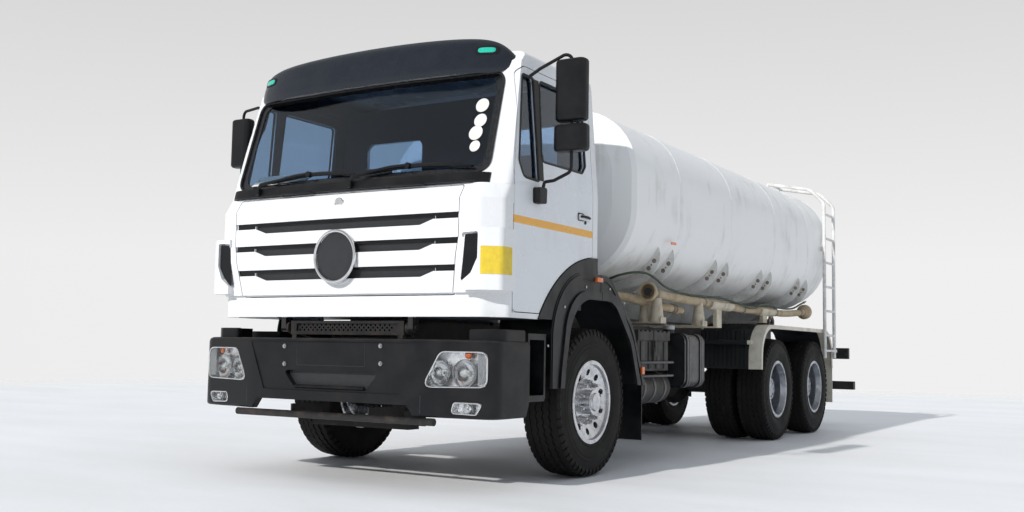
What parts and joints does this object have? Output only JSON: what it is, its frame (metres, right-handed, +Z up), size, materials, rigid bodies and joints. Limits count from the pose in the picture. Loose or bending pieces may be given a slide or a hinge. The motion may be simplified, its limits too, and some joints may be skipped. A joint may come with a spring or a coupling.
{
  "type": "water tanker truck",
  "caption": "Water tanker truck with a tilting cab-over cab, rounded tank on saddle plates, side hose rack, rear ladder, steered front wheels, twin rear wheels and opening doors",
  "frame": {"origin": "on the ground, under the middle of the overall length and width", "axes": "+Z up; the truck faces -Y; +X is the truck's left side"},
  "size_m": [3.165, 9, 2.9941],
  "materials": {
    "white_paint": "gloss",
    "tank_paint": "gloss, dusty",
    "black_steel": "satin",
    "black_plastic": "grained",
    "rim_silver": "satin",
    "tyre": "worn tread",
    "clear_lens": "clear over bright reflectors",
    "red_lens": "moulded",
    "cab_glass": "clear",
    "cab_trim": "grained",
    "hose_cream": "ribbed",
    "hose_green": "satin",
    "cast": "rough",
    "fitting": "worn"
  },
  "bodies": {
    "chassis": {"chassis_frame": "black_steel", "front_axle": "black_steel", "leaf_springs": "black_steel", "rear_axles": "black_steel", "front_bumper": "black_plastic", "front_lamps": "clear_lens", "front_steelwork": "black_steel", "rear_arches_and_steps": "black_plastic", "power_train": "cast", "fuel_tank": "black_steel", "battery_box": "black_plastic", "air_reservoirs": "black_steel", "silencer": "black_steel", "tank_barrel": "tank_paint", "tank_saddles": "tank_paint", "tank_subframe": "black_steel", "hose_rack": "tank_paint", "suction_hose": "hose_cream", "delivery_hose": "hose_cream", "wash_hose": "hose_green", "hose_fittings": "fitting", "ladder": "tank_paint", "rear_mudguards": "black_plastic", "rear_bars": "black_steel", "tail_lamps": "red_lens", "tow_jaw": "cast", "water_pump": "cast", "spray_bar": "black_steel", "manhole_neck": "tank_paint"},
    "cab": {"cab_shell": "white_paint", "cab_glass": "cab_glass", "visor_and_cowl": "black_plastic", "corner_flares": "white_paint", "front_arches": "black_plastic", "cab_interior": "cab_trim", "wipers": "black_plastic"},
    "flap": {"front_flap": "white_paint"},
    "wheel_of_steering": {"steering_wheel": "cab_trim"},
    "lid": {"manhole_lid": "tank_paint"},
    "steering_tie": {"tie_rod": "black_steel"},
    "door_of_left": {"door_left": "white_paint", "door_glass_left": "cab_glass", "mirror_left": "black_plastic"},
    "steer_left": {"knuckle_left": "cast"},
    "wheel_front_left": {"tyre_front_left": "tyre", "rim_front_left": "rim_silver"},
    "wheel_mid_left": {"tyres_mid_left": "tyre", "rims_mid_left": "rim_silver"},
    "wheel_rear_left": {"tyres_rear_left": "tyre", "rims_rear_left": "rim_silver"},
    "door_of_right": {"door_right": "white_paint", "door_glass_right": "cab_glass", "mirror_right": "black_plastic"},
    "steer_right": {"knuckle_right": "cast"},
    "wheel_front_right": {"tyre_front_right": "tyre", "rim_front_right": "rim_silver"},
    "wheel_mid_right": {"tyres_mid_right": "tyre", "rims_mid_right": "rim_silver"},
    "wheel_rear_right": {"tyres_rear_right": "tyre", "rims_rear_right": "rim_silver"}
  },
  "joints": [
    {"name": "cab_tilt", "type": "hinge", "parent": "chassis", "child": "cab", "pos_m": [0, -4.31, 1.025], "axis": [1, 0, 0], "range_deg": [0, 60]},
    {"name": "flap_hinge", "type": "hinge", "parent": "cab", "child": "flap", "pos_m": [0, -4.405, 1.925], "axis": [-1, 0, 0], "range_deg": [0, 60]},
    {"name": "manhole_hinge", "type": "hinge", "parent": "chassis", "child": "lid", "pos_m": [0, 1.38, 2.9463], "axis": [1, 0, 0], "range_deg": [0, 110]},
    {"name": "door_left_hinge", "type": "hinge", "parent": "cab", "child": "door_of_left", "pos_m": [1.212, -4.178, 1.6], "axis": [0, 0, -1], "range_deg": [0, 70]},
    {"name": "steer_left_kingpin", "type": "hinge", "parent": "chassis", "child": "steer_left", "pos_m": [0.86, -3, 0.53], "axis": [0, 0, 1], "range_deg": [-36, 36]},
    {"name": "wheel_front_left_axle", "type": "hinge", "parent": "steer_left", "child": "wheel_front_left", "pos_m": [1, -3, 0.53], "axis": [1, 0, 0], "continuous": true},
    {"name": "wheel_mid_left_axle", "type": "hinge", "parent": "chassis", "child": "wheel_mid_left", "pos_m": [0.9, 1.3, 0.53], "axis": [1, 0, 0], "continuous": true},
    {"name": "wheel_rear_left_axle", "type": "hinge", "parent": "chassis", "child": "wheel_rear_left", "pos_m": [0.9, 2.65, 0.53], "axis": [1, 0, 0], "continuous": true},
    {"name": "door_right_hinge", "type": "hinge", "parent": "cab", "child": "door_of_right", "pos_m": [-1.212, -4.178, 1.6], "axis": [0, 0, 1], "range_deg": [0, 70]},
    {"name": "steer_right_kingpin", "type": "hinge", "parent": "chassis", "child": "steer_right", "pos_m": [-0.86, -3, 0.53], "axis": [0, 0, 1], "range_deg": [-36, 36]},
    {"name": "wheel_front_right_axle", "type": "hinge", "parent": "steer_right", "child": "wheel_front_right", "pos_m": [-1, -3, 0.53], "axis": [1, 0, 0], "continuous": true},
    {"name": "wheel_mid_right_axle", "type": "hinge", "parent": "chassis", "child": "wheel_mid_right", "pos_m": [-0.9, 1.3, 0.53], "axis": [1, 0, 0], "continuous": true},
    {"name": "wheel_rear_right_axle", "type": "hinge", "parent": "chassis", "child": "wheel_rear_right", "pos_m": [-0.9, 2.65, 0.53], "axis": [1, 0, 0], "continuous": true},
    {"name": "tie_rod_pivot", "type": "hinge", "parent": "steer_left", "child": "steering_tie", "pos_m": [0.86, -2.77, 0.394], "axis": [0, 0, 1], "range_deg": [-36, 36]},
    {"name": "steering_wheel_turn", "type": "hinge", "parent": "cab", "child": "wheel_of_steering", "pos_m": [-0.7, -3.905, 1.925], "axis": [0, 0.5, 0.866], "range_deg": [-650, 650]}
  ],
  "couplings": [
    {"joint": "steer_right_kingpin", "follows": "steer_left_kingpin", "ratio": 1},
    {"joint": "tie_rod_pivot", "follows": "steer_left_kingpin", "ratio": -1},
    {"joint": "steering_wheel_turn", "follows": "steer_left_kingpin", "ratio": 18}
  ]
}
